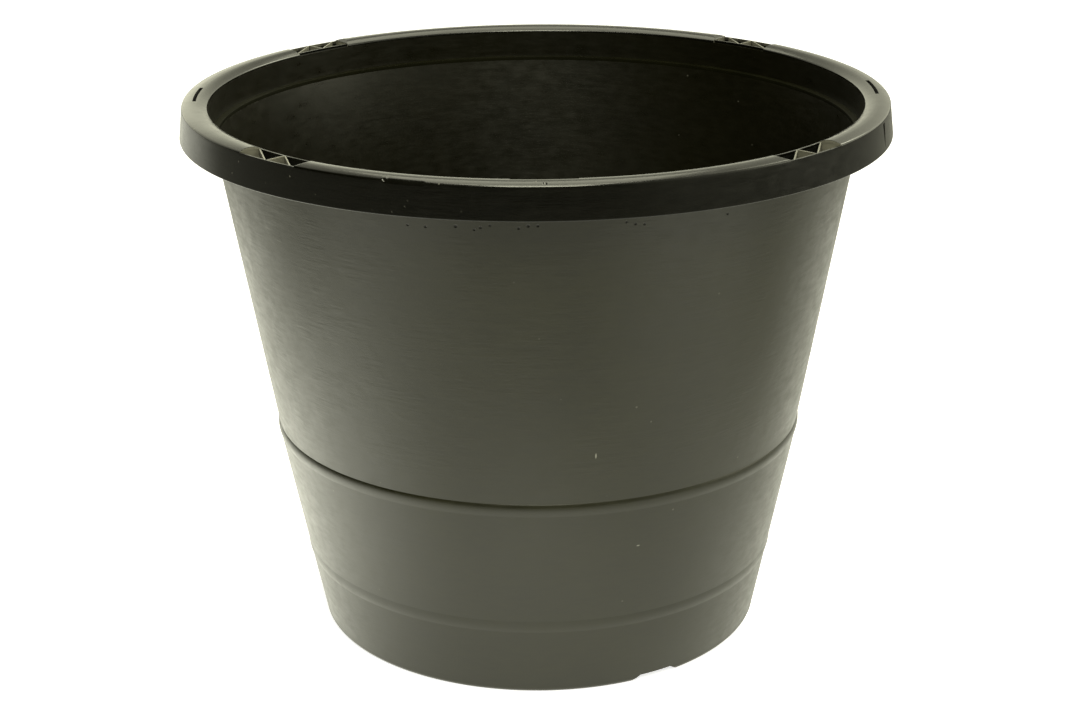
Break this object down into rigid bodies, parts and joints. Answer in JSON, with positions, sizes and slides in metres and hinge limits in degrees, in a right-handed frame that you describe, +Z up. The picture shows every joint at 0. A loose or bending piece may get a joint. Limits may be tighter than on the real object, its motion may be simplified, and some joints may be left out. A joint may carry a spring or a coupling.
{
  "type": "flower bucket",
  "caption": "Tapered round plastic bucket for cut flowers, with a downturned rim, ribbed rim windows, side slots, inside stacking ledge and notched foot.",
  "frame": {"origin": "centre of the foot, on the ground", "axes": "+Z up through the mouth, front towards -Y, side slots at +X and -X"},
  "size_m": [0.3, 0.3, 0.2337],
  "materials": {
    "wall": "semi-matt black polypropylene with fine turned striations",
    "rim": "smoother black polypropylene with a low sheen, a little dusty",
    "rim_ribs": "thin black polypropylene ribs with a rough, slightly paler face",
    "base": "black polypropylene, scuffed where it stands"
  },
  "bodies": {
    "root": {"base_floor": "base", "foot_ring": "base", "lower_wall": "wall", "middle_wall": "wall", "upper_wall": "wall", "stacking_ledge": "rim", "rim_collar": "rim", "front_rim_top": "rim", "back_rim_top": "rim", "left_rim_top": "rim", "right_rim_top": "rim", "rim_skirt": "rim", "front_left_ribs": "rim_ribs", "front_right_ribs": "rim_ribs", "back_left_ribs": "rim_ribs", "back_right_ribs": "rim_ribs"}
  },
  "joints": []
}
